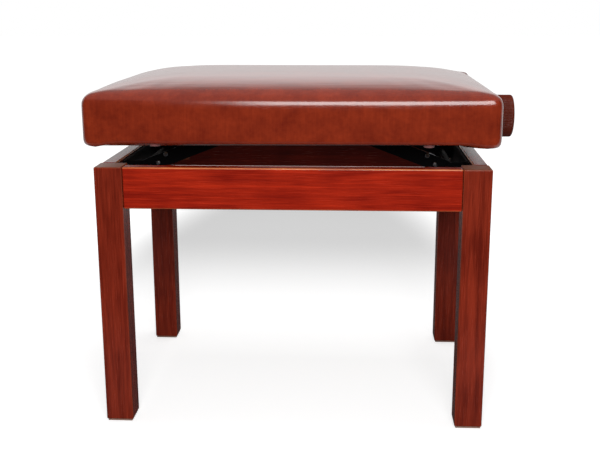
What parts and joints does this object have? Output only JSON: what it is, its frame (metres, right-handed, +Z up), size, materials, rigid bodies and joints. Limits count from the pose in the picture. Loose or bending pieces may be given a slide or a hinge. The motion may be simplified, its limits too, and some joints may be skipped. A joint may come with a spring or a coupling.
{
  "type": "height-adjustable piano bench",
  "caption": "Rectangular piano bench with a padded leatherette seat on a wooden frame; a side knob turns a threaded spindle that lifts or lowers the seat on steel arms.",
  "frame": {"origin": "on the floor, below the middle of the whole bench with its knob", "axes": "+X along the bench towards the knob, -Y towards the front, +Z up"},
  "size_m": [0.591, 0.393, 0.4849],
  "materials": {
    "lacquered_wood": "red-brown stain under satin lacquer",
    "plain_wood": "plain, unvarnished",
    "black_steel": "black, semi-gloss",
    "zinc_steel": "bright zinc plate",
    "brass": "plain turned",
    "seat_leather": "red-brown leatherette, semi-gloss",
    "seat_foam": "open-cell foam",
    "felt": "pressed felt",
    "knob_plastic": "dark red-brown, ribbed"
  },
  "bodies": {
    "frame": {"leg_front_left": "lacquered_wood", "foot_front_left": "felt", "corner_brace_front_left": "plain_wood", "leg_front_right": "lacquered_wood", "foot_front_right": "felt", "corner_brace_front_right": "plain_wood", "leg_back_left": "lacquered_wood", "foot_back_left": "felt", "corner_brace_back_left": "plain_wood", "leg_back_right": "lacquered_wood", "foot_back_right": "felt", "corner_brace_back_right": "plain_wood", "apron_front": "lacquered_wood", "apron_back": "lacquered_wood", "apron_left": "lacquered_wood", "apron_right": "lacquered_wood", "lower_bracket_left": "black_steel", "lower_shaft_left": "black_steel", "lower_bracket_right": "black_steel", "lower_shaft_right": "black_steel"},
    "arms_left": {"arm_left_front": "black_steel", "arm_left_back": "black_steel", "rivet_left_front": "black_steel", "rivet_left_back": "black_steel"},
    "links_left": {"link_left_front": "black_steel", "link_left_back": "black_steel"},
    "nut_left": {"cross_nut_left": "zinc_steel"},
    "arms_right": {"arm_right_front": "black_steel", "arm_right_back": "black_steel", "rivet_right_front": "black_steel", "rivet_right_back": "black_steel"},
    "links_right": {"link_right_front": "black_steel", "link_right_back": "black_steel"},
    "nut_right": {"cross_nut_right": "zinc_steel"},
    "spindle": {"spindle": "zinc_steel", "knob": "knob_plastic", "knob_cap": "knob_plastic", "spindle_collar_left": "zinc_steel", "spindle_collar_right": "zinc_steel"},
    "seat": {"bumper_front_left": "felt", "bumper_front_right": "felt", "bumper_back_left": "felt", "bumper_back_right": "felt", "seat_rail_front": "plain_wood", "seat_rail_back": "plain_wood", "seat_rail_left": "plain_wood", "seat_rail_right": "plain_wood", "upper_bracket_left": "black_steel", "spindle_bush_left": "brass", "upper_pin_left_front": "zinc_steel", "upper_pin_left_back": "zinc_steel", "upper_bracket_right": "black_steel", "spindle_bush_right": "brass", "upper_pin_right_front": "zinc_steel", "upper_pin_right_back": "zinc_steel", "seat_board": "plain_wood", "seat_foam": "seat_foam", "seat_cover": "seat_leather"}
  },
  "joints": [
    {"name": "arms_left_pivot", "type": "hinge", "parent": "frame", "child": "arms_left", "pos_m": [-0.2427, 0, 0.349], "axis": [0, -1, 0], "range_deg": [-8.5, 22]},
    {"name": "links_left_pivot", "type": "hinge", "parent": "arms_left", "child": "links_left", "pos_m": [-0.1564, 0, 0.38225], "axis": [0, -1, 0], "range_deg": [-44, 17]},
    {"name": "seat_pivot", "type": "hinge", "parent": "links_left", "child": "seat", "pos_m": [-0.2427, 0, 0.4155], "axis": [0, -1, 0], "range_deg": [-8.5, 22]},
    {"name": "nut_left_pivot", "type": "hinge", "parent": "arms_left", "child": "nut_left", "pos_m": [-0.0701, 0, 0.4155], "axis": [0, -1, 0], "range_deg": [-22, 8.5]},
    {"name": "arms_right_pivot", "type": "hinge", "parent": "frame", "child": "arms_right", "pos_m": [0.2017, 0, 0.349], "axis": [0, 1, 0], "range_deg": [-8.5, 22]},
    {"name": "links_right_pivot", "type": "hinge", "parent": "arms_right", "child": "links_right", "pos_m": [0.1154, 0, 0.38225], "axis": [0, 1, 0], "range_deg": [-44, 17]},
    {"name": "nut_right_pivot", "type": "hinge", "parent": "arms_right", "child": "nut_right", "pos_m": [0.0291, 0, 0.4155], "axis": [0, 1, 0], "range_deg": [-22, 8.5]},
    {"name": "spindle_turn", "type": "hinge", "parent": "seat", "child": "spindle", "pos_m": [-0.0205, 0, 0.4155], "axis": [1, 0, 0], "range_deg": [-1140, 2950]}
  ],
  "couplings": [
    {"joint": "links_left_pivot", "follows": "arms_left_pivot", "ratio": -2},
    {"joint": "seat_pivot", "follows": "arms_left_pivot", "ratio": 1},
    {"joint": "nut_left_pivot", "follows": "arms_left_pivot", "ratio": -1},
    {"joint": "arms_right_pivot", "follows": "arms_left_pivot", "ratio": 1},
    {"joint": "links_right_pivot", "follows": "arms_left_pivot", "ratio": -2},
    {"joint": "nut_right_pivot", "follows": "arms_left_pivot", "ratio": -1},
    {"joint": "spindle_turn", "follows": "arms_left_pivot", "ratio": 134}
  ]
}
